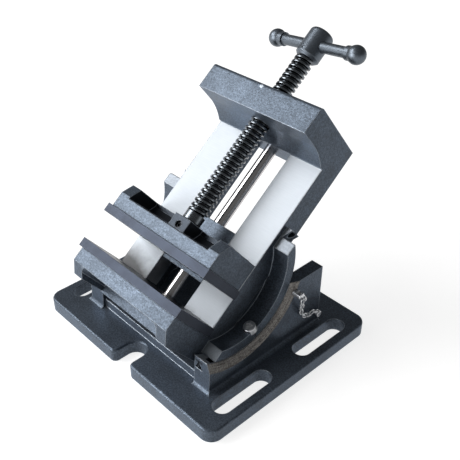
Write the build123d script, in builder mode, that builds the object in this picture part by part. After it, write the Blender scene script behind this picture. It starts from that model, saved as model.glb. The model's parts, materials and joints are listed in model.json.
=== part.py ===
from build123d import *
import os
from math import cos, radians, sin, sqrt

os.makedirs("parts", exist_ok=True)

# A tilting machine vise: a vise body whose two curved rims slide in the tracks of a slotted base.
# The origin is at the middle of the base's underside, X is across the jaws and Y goes to the back.
# The vise has its own directions too: v runs up the screw, and w stands off the rails.
# Both are measured from the tilt axis. All sizes are in millimetres and degrees.

# Pose
TILT = 39.0                 # slope of the rails as modelled
JAW_OPENING = 22.4          # gap between the jaw plates as modelled
HANDLE_TURN = 11.0          # turn of the tommy bar about the screw as modelled

# Clearances
SLIDE_GAP = 0.3             # between sliding flats
RUNNING_FIT = 0.1           # on the radius, between a shaft and its bore
SCREW_FIT = 0.2             # on the radius, between a fixed fastener and its hole

# Jaws
JAW_WIDTH = 101.6           # length of the jaw plates
PLATE_THICKNESS = 6.3
PLATE_OVERHANG = 1.9        # past each side of the castings
PLATE_RISE = 2.2            # above the castings
JAW_HEIGHT = 40.1           # castings above the rails
FIXED_JAW_THICKNESS = 18.2
JAW_CHAMFER = 8.2
CHEEK_WIDTH = 9.2           # each side of the pockets
POCKET_LEAN = 0.7            # of the fixed pocket's floor, over its height
POCKET_LEDGE = 8.0           # from the rails up to the foot of that floor
POCKET_STEP = 3.0            # depth of the ledge under it
PLATE_SCREW_SPACING = 62.0
PLATE_SCREW_DIAMETER = 6.0
PLATE_SCREW_HEAD = 11.0
PLATE_SCREW_LENGTH = 16.0
PLATE_SCREW_SOCKET = 4.0     # across the flats
PLATE_SOCKET_DEPTH = 2.4
PLATE_SCREW_SINK = 0.2       # head below the plate's face

# Rails and end block
RAIL_GAP = 41.5             # between the rails
RAIL_TOP = -19.3            # w of the rails
RAIL_DEPTH = 19.6
FIXED_SEAT = -34.9          # v of the fixed jaw plate's back
RAIL_LENGTH = 131.6         # from the fixed seat to the end block
END_THICKNESS = 25.4        # of the end block at the rails
END_NARROWING = 5.4         # less at its top
END_HEIGHT = 39.3           # above the rails
END_LEDGE = 2.6
END_CURVE_HEIGHT = 21.6      # above the rails, of the hollow under the end block's face
END_EDGE = 2.5

# Rims
RIM_RADIUS = 51.3
RIM_THICKNESS = 7.3
RIM_WIDTH = 13.0
LEFT_RIM_WIDTH = 15.4       # wider, as the left wall has no scale
LEFT_RIM_ROUND = 2.0        # of its outer corner
RIM_END = -23.6             # w of the rims' flat ends
WEB_THICKNESS = 12.0
WEB_RECESS = 1.0
BELLY_STEP = 1.5            # body between the webs, inside the rims' radius

# Base
TRACK_FLOOR = 16.0          # metal between the track's lowest point and the plate
TRACK_FRONT_ANGLE = 30.3    # from straight down to the track's front end
HORN_ANGLE = 67.7           # from straight down to the top of the horn
HORN_LENGTH = 29.7
BEVEL_WIDTH = 2.8
BEVEL_RISE = 5.7
WALL_THICKNESS = 9.8
WALL_DRAFT = 2.5
PAD_GAP = 1.6               # between the vise body and the inside of the track
AXIS_Y = -26.5
FLANGE_WIDTH = 25.5         # base plate outside each wall
BASE_DEPTH = 154.0
BASE_THICKNESS = 10.4
BASE_CORNER = 9.0
BASE_EDGE = 1.5
SLOT_LENGTH = 49.0
SLOT_WIDTH = 13.4
SLOT_MARGIN = 15.0          # from a slot's end to the plate's edge
NOTCH_WIDTH = 16.0
NOTCH_DEPTH = 20.0
NOTCH_LIP = 4.0
FOOT_FILLET = 3.0            # along the walls' feet
RIB_HEIGHT = 7.0
RIB_THICKNESS = 6.0
ARROW_WIDTH = 6.6            # of the index mark in the right wall's front end
ARROW_HEIGHT = 7.0
ARROW_DEPTH = 1.2
ARROW_X = 54.6
ARROW_ABOVE = 14.4           # its foot above the plate

# Tilt lock
LOCK_ANGLE = 20.0           # of the lock screws, forward of straight down in the vise
LOCK_DIAMETER = 5.0
LOCK_HEAD = 8.6
LOCK_HEAD_HEIGHT = 5.0
LOCK_HEAD_SINK = 2.5        # head below the rim's inner face
LOCK_SOCKET = 4.0           # across the flats of the hexagon
SOCKET_DEPTH = 2.6
LOCK_EDGE = 3.6             # from the screw's axis to the rim's outer side
NUT_WIDTH = 8.0
NUT_THICKNESS = 3.6
NUT_SPAN = 10.0             # angle that the nut covers
NUT_DEPTH = 4.2             # from the track to the nut's wide part
T_SLOT_END = 50.0           # angle where the T-slot stops, behind straight down
T_SLOT_WALL = 3.0           # angle left closed at the track's front end
NUT_ENTRY = 12.0            # length of the opening in the base's underside for the nut

# Zero pin and its chain
PIN_DIAMETER = 5.0
PIN_BELOW = 6.4             # from the track, away from the tilt axis
PIN_ANGLE = 61.0            # from straight down
PIN_REACH = 5.6             # out of the wall
PIN_FLAT = 3.0              # thickness of its flattened end
PIN_EYE = 2.0               # from its end to the ring's hole
LUG_WIDTH = 5.1
LUG_BEHIND = 1.7            # past the rim's radius
LUG_DEPTH = 10.5
RING_RADIUS = 2.7
RING_WIRE = 0.9
LINK_WIRE = 0.9
LINK_LENGTH = 4.95          # between the middles of its two end bows
LINK_WIDTH = 3.0            # between the middles of its two sides
LINK_SLACK = 0.3
LINK_COUNT = 11
CHAIN_ROUTE = (             # x, y and z from the ring's lowest point
    (0.0, 0.0, 0.0),
    (-0.3, 0.3, -3.5),
    (-2.0, 1.7, -8.6),
    (-3.6, 3.5, -13.6),
    (-4.0, 5.8, -18.4),
    (-4.0, 9.4, -22.2),
    (-4.0, 13.8, -23.2),
    (-4.0, 17.8, -22.8),
    (-4.0, 21.2, -25.0),
    (-4.0, 23.2, -28.4),
    (-4.0, 24.4, -32.0),
)
ANCHOR_DIAMETER = 1.5
ANCHOR_HEAD = 4.6
ANCHOR_HEAD_HEIGHT = 1.4
ANCHOR_DEPTH = 6.0

# Screw, guide rod and handle
SCREW_AXIS = 1.1            # w of the lead screw
SCREW_DIAMETER = 14.2
SCREW_NECK = 10.4           # journal in the moving jaw
SCREW_GROOVE = 7.6
NECK_LENGTH = 17.0
SCREW_REACH = 136.0         # from the boss to the hub
ROD_AXIS = -25.6            # w of the guide rod
ROD_DIAMETER = 9.0
ROD_SINK = 12.0             # into the fixed jaw
ROD_PIN_DIAMETER = 4.0
HUB_DIAMETER = 18.0
HUB_LENGTH = 22.0
HUB_CHAMFER = 2.0           # of its near end
HUB_ROUND = 2.6             # of its far end
HUB_PIN_DIAMETER = 3.0
HUB_PIN_PLACE = 4.0         # from the hub's near end to its cross pin
HUB_BAR_PLACE = 11.5        # from the hub's near end to the bar
BAR_DIAMETER = 7.8
BAR_REACH = 39.7            # from the screw to each ball's middle
BALL_DIAMETER = 13.0
BALL_NECK = 10.0
BAR_SINK = 4.0              # of the bar's ends in the balls

# Moving jaw
JAW_DEPTH = 19.3            # of the moving jaw at the rails
JAW_TOP = 10.8              # flat top of the moving jaw
JAW_SLOPE = 5.1             # drop of its rear chamfer
POCKET_START = 9.4
POCKET_FLOOR = -5.0
BOSS_WIDTH = 15.0
BOSS_TOP = 10.6
BOSS_BACK = 19.8
TONGUE_FRONT = 9.1          # ahead of the plate's back
TONGUE_BACK = 31.0
KEEPER_OVERLAP = 9.0        # under each rail
KEEPER_THICKNESS = 7.0
KEEPER_SCREW_DIAMETER = 5.0
KEEPER_SCREW_HEAD = 8.5
KEEPER_SCREW_X = 12.5
KEEPER_SCREW_LENGTH = 12.0
KEEPER_SCREW_HEIGHT = 4.0
KEEPER_SCREW_SINK = 0.4
KEEPER_SCREW_SOCKET = 4.0
RETAINER_DIAMETER = 5.0
RETAINER_POINT = 2.8        # of its dog point
RETAINER_SINK = 1.5         # below the boss's top
RETAINER_SOCKET = 2.5
RETAINER_BACK = 6.0         # ahead of the boss's back face

# Worked out from the sizes above
body_half = JAW_WIDTH / 2 - PLATE_OVERHANG
rim_outer = body_half + RIM_WIDTH
bevel_start = rim_outer + SLIDE_GAP
wall_outer = bevel_start + BEVEL_WIDTH
wall_inner = wall_outer - WALL_THICKNESS
pad_inner = body_half + PAD_GAP
track_radius = RIM_RADIUS + SLIDE_GAP
axis_height = BASE_THICKNESS + TRACK_FLOOR + track_radius
wall_front = AXIS_Y - track_radius * sin(radians(TRACK_FRONT_ANGLE))
horn_top = axis_height - track_radius * cos(radians(HORN_ANGLE))
horn_front = AXIS_Y + track_radius * sin(radians(HORN_ANGLE))
wall_back = horn_front + HORN_LENGTH
base_length = 2 * (wall_outer + FLANGE_WIDTH)
slot_x = wall_outer + FLANGE_WIDTH / 2
slot_y = BASE_DEPTH / 2 - SLOT_MARGIN - SLOT_LENGTH / 2
pin_radius = track_radius + PIN_BELOW
lug_v = pin_radius * sin(radians(PIN_ANGLE))
lug_w = -pin_radius * cos(radians(PIN_ANGLE))
lug_start = RIM_RADIUS - RIM_THICKNESS
lug_end = RIM_RADIUS + LUG_BEHIND
pin_y = AXIS_Y + lug_v
pin_z = axis_height + lug_w
pad_back = AXIS_Y + lug_start - SLIDE_GAP * 4
lock_x = rim_outer - LOCK_EDGE
jaw_top = RAIL_TOP + JAW_HEIGHT
rail_bottom = RAIL_TOP - RAIL_DEPTH
end_front = FIXED_SEAT + RAIL_LENGTH
end_back = end_front + END_THICKNESS
end_top = RAIL_TOP + END_HEIGHT
jaw_front = FIXED_SEAT - FIXED_JAW_THICKNESS
moving_seat = FIXED_SEAT + PLATE_THICKNESS + JAW_OPENING + PLATE_THICKNESS
boss_back = moving_seat + BOSS_BACK
hub_front = boss_back + SCREW_REACH
bar_v = hub_front + HUB_BAR_PLACE

tilt_cos = cos(radians(TILT))
tilt_sin = sin(radians(TILT))
tilt_axis = Axis((0, AXIS_Y, axis_height), (1, 0, 0))


def place(x, v, w):
    """Point of the whole object for a point of the vise."""
    return (x, AXIS_Y + v * tilt_cos - w * tilt_sin, axis_height + v * tilt_sin + w * tilt_cos)


def side_plane(x):
    """Upright plane across X, drawn on in v and w, facing +X."""
    return Plane(origin=place(x, 0, 0), x_dir=(0, tilt_cos, tilt_sin), z_dir=(1, 0, 0))


def cross_plane(v):
    """Plane square to the screw, drawn on in x and w, facing the fixed jaw."""
    return Plane(origin=place(0, v, 0), x_dir=(1, 0, 0), z_dir=(0, -tilt_cos, -tilt_sin))


def deck_plane(w):
    """Plane level with the rails, drawn on in x and v, facing away from them."""
    return Plane(origin=place(0, 0, w), x_dir=(1, 0, 0), z_dir=(0, -tilt_sin, tilt_cos))


def spoke_plane(angle):
    """Plane through the tilt axis, drawn on in x and radius, at an angle back from straight down."""
    turn = radians(angle)
    return Plane(origin=(0, AXIS_Y, axis_height), x_dir=(1, 0, 0), z_dir=(0, cos(turn), sin(turn)))


def rim_plane(radius, angle):
    """Plane touching a circle about the tilt axis, facing the axis, at an angle back from straight down."""
    turn = radians(angle)
    out = (0, sin(turn), -cos(turn))
    origin = (0, AXIS_Y + radius * out[1], axis_height + radius * out[2])
    return Plane(origin=origin, x_dir=(1, 0, 0), z_dir=(0, -out[1], -out[2]))


# Route of the zero pin's chain, walked off in equal steps from link to link, and the place of its anchor
pin_start = body_half + LUG_WIDTH + SLIDE_GAP
pin_end = wall_outer + PIN_REACH
ring_x = pin_end - PIN_EYE
ring_low = Vector(ring_x + RING_RADIUS, pin_y, pin_z - RING_RADIUS)
link_pitch = LINK_LENGTH - LINK_WIRE - LINK_SLACK
link_grip = (LINK_LENGTH - link_pitch) / 2
chain_start = ring_low + Vector(0, 0, (RING_WIRE + LINK_WIRE) / 2 + LINK_SLACK / 2 - link_grip)
route = Spline(*[chain_start + Vector(*offset) for offset in CHAIN_ROUTE])
route_steps = 2000
joints = [route @ 0]
for step in range(route_steps + 1):
    point = route @ (step / route_steps)
    if len(joints) <= LINK_COUNT and (point - joints[-1]).length >= link_pitch:
        joints.append(point)
last_way = (joints[-1] - joints[-2]).normalized()
anchor = joints[-1] + last_way * (link_grip - (LINK_WIRE + ANCHOR_DIAMETER) / 2 - LINK_SLACK / 2)
anchor_y = anchor.Y
anchor_z = anchor.Z

# Base casting: slotted plate, two walls with a concave track each, and two low cross ribs
with BuildPart() as base_casting:
    with BuildSketch() as plate_outline:
        RectangleRounded(base_length, BASE_DEPTH, BASE_CORNER)
        with Locations((0, -BASE_DEPTH / 2), (0, BASE_DEPTH / 2)):
            SlotOverall(2 * NOTCH_DEPTH, NOTCH_WIDTH, rotation=90, mode=Mode.SUBTRACT)
        edge_points = plate_outline.vertices().filter_by(lambda p: abs(p.Y) > BASE_DEPTH / 2 - 1)
        lips = edge_points.filter_by(lambda p: abs(p.X) < NOTCH_WIDTH)
        fillet(lips, NOTCH_LIP)
        with GridLocations(2 * slot_x, 2 * slot_y, 2, 2):
            SlotOverall(SLOT_LENGTH, SLOT_WIDTH, rotation=90, mode=Mode.SUBTRACT)
    extrude(amount=BASE_THICKNESS)
    fillet(base_casting.faces().sort_by(Axis.Z)[-1].outer_wire().edges(), BASE_EDGE)

    # Walls: the horn's thickness all along, and the wider pad under the track
    for side in (-1, 1):
        for inner, back in ((wall_inner, wall_back), (pad_inner, pad_back)):
            with BuildSketch(Plane.YZ.offset(side * inner)):
                with BuildLine():
                    Polyline(
                        (wall_front - WALL_DRAFT, BASE_THICKNESS),
                        (wall_front, horn_top),
                        (back, horn_top),
                        (back, BASE_THICKNESS),
                        close=True,
                    )
                make_face()
                with Locations((AXIS_Y, axis_height)):
                    Circle(track_radius, mode=Mode.SUBTRACT)
            extrude(amount=side * (wall_outer - inner))

        # Soft foot round the outside of the wall
        plate_edges = base_casting.edges().filter_by(lambda e: abs(e.center().Z - BASE_THICKNESS) < 0.01)
        side_edges = plate_edges.filter_by(Axis.Y)
        outer_foot = side_edges.filter_by(lambda e: abs(e.center().X - side * wall_outer) < 0.01)
        end_feet = plate_edges.filter_by(Axis.X).filter_by(lambda e: e.center().X * side > 0)
        front_foot = end_feet.filter_by(lambda e: abs(e.center().Y - wall_front + WALL_DRAFT) < 0.01)
        fillet(outer_foot + front_foot, FOOT_FILLET)

        # T-slot for the clamp nut, and the opening in the underside that lets the nut in
        slot_start = -TRACK_FRONT_ANGLE + T_SLOT_WALL
        with BuildSketch(spoke_plane(slot_start)):
            with Locations((side * lock_x, track_radius + NUT_DEPTH / 2)):
                Rectangle(LOCK_DIAMETER + 2 * SCREW_FIT, NUT_DEPTH + 2)
            with Locations((side * lock_x, track_radius + NUT_DEPTH + NUT_THICKNESS / 2)):
                Rectangle(NUT_WIDTH + SLIDE_GAP, NUT_THICKNESS + SLIDE_GAP)
        revolve(axis=tilt_axis, revolution_arc=T_SLOT_END - slot_start, mode=Mode.SUBTRACT)
        with BuildSketch():
            with Locations((side * lock_x, AXIS_Y)):
                Rectangle(NUT_WIDTH + SLIDE_GAP, NUT_ENTRY)
        extrude(amount=BASE_THICKNESS + TRACK_FLOOR - NUT_DEPTH - NUT_THICKNESS / 2, mode=Mode.SUBTRACT)

    # Bevelled scale band along the right track's outer edge
    band_side = wall_outer + 1
    band_top = track_radius + BEVEL_RISE * (band_side - bevel_start) / BEVEL_WIDTH
    with BuildSketch(spoke_plane(0)):
        with BuildLine():
            Polyline(
                (bevel_start, track_radius - 1),
                (bevel_start, track_radius),
                (band_side, band_top),
                (band_side, track_radius - 1),
                close=True,
            )
        make_face()
    revolve(axis=tilt_axis, mode=Mode.SUBTRACT)

    # Ribs between the walls, at the front and the back
    with BuildSketch(Plane.XY.offset(BASE_THICKNESS)):
        for rib_y in (wall_front + RIB_THICKNESS / 2, wall_back - RIB_THICKNESS):
            with Locations((0, rib_y)):
                Rectangle(2 * wall_inner, RIB_THICKNESS)
    extrude(amount=RIB_HEIGHT)

    # Bore of the zero pin in the right horn, and the tapped hole of the chain's anchor
    with BuildSketch(Plane.YZ.offset(wall_inner)):
        with Locations((pin_y, pin_z)):
            Circle(PIN_DIAMETER / 2 + RUNNING_FIT)
    extrude(amount=WALL_THICKNESS, mode=Mode.SUBTRACT)
    with BuildSketch(Plane.YZ.offset(wall_outer)):
        with Locations((anchor_y, anchor_z)):
            Circle(ANCHOR_DIAMETER / 2)
    extrude(amount=-ANCHOR_DEPTH, mode=Mode.SUBTRACT)

    # Sunk index mark in the front end of the right wall
    arrow_foot = BASE_THICKNESS + ARROW_ABOVE
    wall_lean = WALL_DRAFT / (horn_top - BASE_THICKNESS)
    with BuildSketch(Plane.XZ.offset(-(wall_front - WALL_DRAFT + wall_lean * ARROW_ABOVE + ARROW_DEPTH))):
        with BuildLine():
            Polyline(
                (ARROW_X - ARROW_WIDTH / 2, arrow_foot),
                (ARROW_X + ARROW_WIDTH / 2, arrow_foot),
                (ARROW_X, arrow_foot + ARROW_HEIGHT),
                close=True,
            )
        make_face()
    extrude(amount=ARROW_DEPTH + WALL_DRAFT, mode=Mode.SUBTRACT)

# Zero pin: plain shank with a flattened end, cross-drilled for its ring
with BuildPart() as zero_pin:
    with BuildSketch(Plane.YZ.offset(pin_start)):
        with Locations((pin_y, pin_z)):
            Circle(PIN_DIAMETER / 2)
    extrude(amount=pin_end - pin_start)
    chamfer(zero_pin.edges().filter_by(GeomType.CIRCLE), 0.6)
    with BuildSketch(Plane.XY.offset(pin_z + PIN_FLAT / 2)):
        with Locations((pin_end, pin_y)):
            Rectangle(4 * PIN_EYE, 2 * PIN_DIAMETER)
    extrude(amount=PIN_DIAMETER, mode=Mode.SUBTRACT)
    with BuildSketch(Plane.XY.offset(pin_z - PIN_FLAT / 2)):
        with Locations((pin_end, pin_y)):
            Rectangle(4 * PIN_EYE, 2 * PIN_DIAMETER)
    extrude(amount=-PIN_DIAMETER, mode=Mode.SUBTRACT)
    with BuildSketch(Plane.XY.offset(pin_z - PIN_DIAMETER)):
        with Locations((ring_x + 0.25, pin_y)):
            Circle(RING_WIRE / 2 + 0.5)
    extrude(amount=2 * PIN_DIAMETER, mode=Mode.SUBTRACT)

# Ring through the head of the zero pin, hanging in the plane of X and Z
with BuildPart() as pin_ring:
    with BuildSketch(Plane.XY.offset(pin_z)):
        with Locations((ring_x, pin_y)):
            Circle(RING_WIRE / 2)
    revolve(axis=Axis((ring_x + RING_RADIUS, pin_y, pin_z), (0, 1, 0)))

# Vise body casting: fixed jaw, rails, end block, webs and rims
with BuildPart() as vise_body:
    belly = RIM_RADIUS - BELLY_STEP
    belly_middle = radians(217)
    with BuildSketch(side_plane(-body_half)):
        with BuildLine():
            Polyline(
                (-sqrt(belly**2 - RIM_END**2), RIM_END),
                (jaw_front, RIM_END),
                (jaw_front, jaw_top - JAW_CHAMFER),
                (jaw_front + JAW_CHAMFER, jaw_top),
                (FIXED_SEAT, jaw_top),
                (FIXED_SEAT, RAIL_TOP),
                (end_front, RAIL_TOP),
                (end_front, RAIL_TOP + END_LEDGE),
            )
            ThreePointArc(
                (end_front, RAIL_TOP + END_LEDGE),
                (end_front + END_NARROWING * 0.7, RAIL_TOP + END_CURVE_HEIGHT * 0.55),
                (end_front + END_NARROWING, RAIL_TOP + END_CURVE_HEIGHT),
            )
            Polyline(
                (end_front + END_NARROWING, RAIL_TOP + END_CURVE_HEIGHT),
                (end_front + END_NARROWING, end_top),
                (end_back, end_top),
                (end_back, rail_bottom),
                (-sqrt(belly**2 - rail_bottom**2), rail_bottom),
            )
            ThreePointArc(
                (-sqrt(belly**2 - rail_bottom**2), rail_bottom),
                (belly * cos(belly_middle), belly * sin(belly_middle)),
                (-sqrt(belly**2 - RIM_END**2), RIM_END),
            )
        make_face()
    extrude(amount=2 * body_half)
    fillet(vise_body.edges().filter_by(Axis.X).sort_by(Axis.Z)[-1], END_EDGE)

    # Gap between the rails
    with BuildSketch(deck_plane(RAIL_TOP + 1)):
        with Locations((0, (FIXED_SEAT + end_front) / 2)):
            Rectangle(RAIL_GAP, RAIL_LENGTH)
    extrude(amount=-RAIL_DEPTH - 2, mode=Mode.SUBTRACT)

    # Pocket in the front of the fixed jaw, between its cheeks
    pocket_floor = jaw_front + JAW_CHAMFER - 0.5
    with BuildSketch(side_plane(-body_half + CHEEK_WIDTH)):
        with BuildLine():
            Polyline(
                (pocket_floor, jaw_top + 1),
                (pocket_floor - POCKET_LEAN, RAIL_TOP + POCKET_LEDGE + POCKET_STEP),
                (jaw_front + POCKET_STEP, RAIL_TOP + POCKET_LEDGE),
                (jaw_front + POCKET_STEP, RIM_END - 1),
                (jaw_front - 1, RIM_END - 1),
                (jaw_front - 1, jaw_top + 1),
                close=True,
            )
        make_face()
    extrude(amount=2 * (body_half - CHEEK_WIDTH), mode=Mode.SUBTRACT)

    # Webs under the rails and the curved rims outside them
    web_face = body_half - WEB_RECESS
    left_rim = (-1, body_half + LEFT_RIM_WIDTH, LEFT_RIM_ROUND)
    right_rim = (1, rim_outer, 0)
    for side, rim_side, rim_round in (left_rim, right_rim):
        with BuildSketch(side_plane(side * (web_face - WEB_THICKNESS))):
            Circle(RIM_RADIUS)
            with Locations((0, rail_bottom + 1 + 2 * RIM_RADIUS)):
                Rectangle(4 * RIM_RADIUS, 4 * RIM_RADIUS, mode=Mode.SUBTRACT)
        extrude(amount=side * WEB_THICKNESS)
        with BuildSketch(side_plane(side * (web_face - 1))):
            Circle(RIM_RADIUS)
            Circle(RIM_RADIUS - RIM_THICKNESS, mode=Mode.SUBTRACT)
            with Locations((0, RIM_END + 2 * RIM_RADIUS)):
                Rectangle(4 * RIM_RADIUS, 4 * RIM_RADIUS, mode=Mode.SUBTRACT)
        extrude(amount=side * (rim_side - web_face + 1))
        if rim_round:
            corner = vise_body.edges().filter_by(GeomType.CIRCLE).filter_by(
                lambda e: abs(e.radius - RIM_RADIUS) < 0.01 and abs(e.center().X - side * rim_side) < 0.01)
            fillet(corner, rim_round)

        # Three-cornered lug behind the rim, for the zero pin
        with BuildSketch(deck_plane(RIM_END)):
            with BuildLine():
                Polyline(
                    (side * (body_half - 1), lug_start),
                    (side * body_half, lug_start),
                    (side * (body_half + LUG_WIDTH), lug_end),
                    (side * (body_half - 1), lug_end),
                    close=True,
                )
            make_face()
        extrude(amount=-LUG_DEPTH)

        # Lock screw's bore through the rim, with its spot face
        with BuildSketch(rim_plane(RIM_RADIUS - RIM_THICKNESS + LOCK_HEAD_SINK, TILT - LOCK_ANGLE)):
            with Locations((side * lock_x, 0)):
                Circle(LOCK_HEAD / 2 + SLIDE_GAP)
        extrude(amount=LOCK_HEAD_SINK + 4, mode=Mode.SUBTRACT)
        with BuildSketch(rim_plane(RIM_RADIUS + 1, TILT - LOCK_ANGLE)):
            with Locations((side * lock_x, 0)):
                Circle(LOCK_DIAMETER / 2 + SCREW_FIT)
        extrude(amount=RIM_THICKNESS + 2, mode=Mode.SUBTRACT)

    # Hole of the zero pin in the right lug
    with BuildSketch(side_plane(body_half - 6)):
        with Locations((lug_v, lug_w)):
            Circle(PIN_DIAMETER / 2 + SLIDE_GAP)
    extrude(amount=LUG_WIDTH + 7, mode=Mode.SUBTRACT)

    # Bores of the guide rod and the lead screw, and of the pin that holds the rod
    with BuildSketch(cross_plane(end_back)):
        with Locations((0, ROD_AXIS)):
            Circle(ROD_DIAMETER / 2)
    extrude(amount=end_back - FIXED_SEAT + ROD_SINK, mode=Mode.SUBTRACT)
    with BuildSketch(cross_plane(end_back + 1)):
        with Locations((0, SCREW_AXIS)):
            Circle(SCREW_DIAMETER / 2 + RUNNING_FIT)
    extrude(amount=END_THICKNESS + 2, mode=Mode.SUBTRACT)
    rod_pin_v = end_back - END_THICKNESS / 2
    with BuildSketch(deck_plane(rail_bottom)):
        with Locations((0, rod_pin_v)):
            Circle(ROD_PIN_DIAMETER / 2)
    extrude(amount=ROD_AXIS + ROD_DIAMETER / 2 + 2 - rail_bottom, mode=Mode.SUBTRACT)

    # Tapped holes of the fixed jaw plate's screws
    with BuildSketch(cross_plane(FIXED_SEAT)):
        with GridLocations(PLATE_SCREW_SPACING, 1, 2, 1):
            Circle(PLATE_SCREW_DIAMETER / 2)
    extrude(amount=PLATE_SCREW_LENGTH - PLATE_THICKNESS, mode=Mode.SUBTRACT)

# Guide rod between the fixed jaw and the end block, and the cross pin that holds it
rod_front = FIXED_SEAT - ROD_SINK + 0.5
with BuildPart() as guide_rod:
    with BuildSketch(cross_plane(end_back - 1)):
        with Locations((0, ROD_AXIS)):
            Circle(ROD_DIAMETER / 2)
    extrude(amount=end_back - 1 - rod_front)
    with BuildSketch(deck_plane(rail_bottom)):
        with Locations((0, rod_pin_v)):
            Circle(ROD_PIN_DIAMETER / 2)
    extrude(amount=ROD_AXIS + ROD_DIAMETER / 2 + 2 - rail_bottom, mode=Mode.SUBTRACT)

with BuildPart() as guide_rod_pin:
    with BuildSketch(deck_plane(rail_bottom + 1)):
        with Locations((0, rod_pin_v)):
            Circle(ROD_PIN_DIAMETER / 2)
    extrude(amount=ROD_AXIS + ROD_DIAMETER / 2 + 1 - rail_bottom)

# Jaw plates, countersunk for two screws each
plate_bottom = RAIL_TOP + SLIDE_GAP
plate_top = jaw_top + PLATE_RISE
fixed_face = FIXED_SEAT + PLATE_THICKNESS
moving_face = moving_seat - PLATE_THICKNESS
sink = (PLATE_SCREW_HEAD - PLATE_SCREW_DIAMETER) / 2

with BuildPart() as fixed_jaw_plate:
    with BuildSketch(cross_plane(fixed_face)):
        with Locations((0, (plate_bottom + plate_top) / 2)):
            Rectangle(JAW_WIDTH, plate_top - plate_bottom)
    extrude(amount=PLATE_THICKNESS)
    with BuildSketch(cross_plane(fixed_face)):
        with GridLocations(PLATE_SCREW_SPACING, 1, 2, 1):
            Circle(PLATE_SCREW_DIAMETER / 2 + SCREW_FIT)
    extrude(amount=PLATE_THICKNESS, mode=Mode.SUBTRACT)
    for screw_x in (-PLATE_SCREW_SPACING / 2, PLATE_SCREW_SPACING / 2):
        with BuildSketch(cross_plane(fixed_face)):
            with Locations((screw_x, 0)):
                Circle(PLATE_SCREW_HEAD / 2 + SCREW_FIT)
        extrude(amount=sink, taper=45, mode=Mode.SUBTRACT)

with BuildPart() as moving_jaw_plate:
    with BuildSketch(cross_plane(moving_seat)):
        with Locations((0, (plate_bottom + plate_top) / 2)):
            Rectangle(JAW_WIDTH, plate_top - plate_bottom)
    extrude(amount=PLATE_THICKNESS)
    with BuildSketch(cross_plane(moving_seat)):
        with GridLocations(PLATE_SCREW_SPACING, 1, 2, 1):
            Circle(PLATE_SCREW_DIAMETER / 2 + SCREW_FIT)
    extrude(amount=PLATE_THICKNESS, mode=Mode.SUBTRACT)
    for screw_x in (-PLATE_SCREW_SPACING / 2, PLATE_SCREW_SPACING / 2):
        with BuildSketch(cross_plane(moving_face)):
            with Locations((screw_x, 0)):
                Circle(PLATE_SCREW_HEAD / 2 + SCREW_FIT)
        extrude(amount=-sink, taper=45, mode=Mode.SUBTRACT)

# Countersunk socket screws of the jaw plates, one pair for each
with BuildPart() as fixed_plate_screws:
    for screw_x in (-PLATE_SCREW_SPACING / 2, PLATE_SCREW_SPACING / 2):
        with BuildSketch(cross_plane(fixed_face - PLATE_SCREW_SINK)):
            with Locations((screw_x, 0)):
                Circle(PLATE_SCREW_HEAD / 2)
        extrude(amount=sink, taper=45)
        with BuildSketch(cross_plane(fixed_face - PLATE_SCREW_SINK - sink)):
            with Locations((screw_x, 0)):
                Circle(PLATE_SCREW_DIAMETER / 2)
        extrude(amount=PLATE_SCREW_LENGTH - 1 - sink)
        with BuildSketch(cross_plane(fixed_face)):
            with Locations((screw_x, 0)):
                RegularPolygon(PLATE_SCREW_SOCKET / 2, 6, major_radius=False)
        extrude(amount=PLATE_SOCKET_DEPTH, mode=Mode.SUBTRACT)

with BuildPart() as moving_plate_screws:
    for screw_x in (-PLATE_SCREW_SPACING / 2, PLATE_SCREW_SPACING / 2):
        with BuildSketch(cross_plane(moving_face + PLATE_SCREW_SINK)):
            with Locations((screw_x, 0)):
                Circle(PLATE_SCREW_HEAD / 2)
        extrude(amount=-sink, taper=45)
        with BuildSketch(cross_plane(moving_face + PLATE_SCREW_SINK + sink)):
            with Locations((screw_x, 0)):
                Circle(PLATE_SCREW_DIAMETER / 2)
        extrude(amount=-(PLATE_SCREW_LENGTH - 1 - sink))
        with BuildSketch(cross_plane(moving_face)):
            with Locations((screw_x, 0)):
                RegularPolygon(PLATE_SCREW_SOCKET / 2, 6, major_radius=False)
        extrude(amount=-PLATE_SOCKET_DEPTH, mode=Mode.SUBTRACT)

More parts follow.
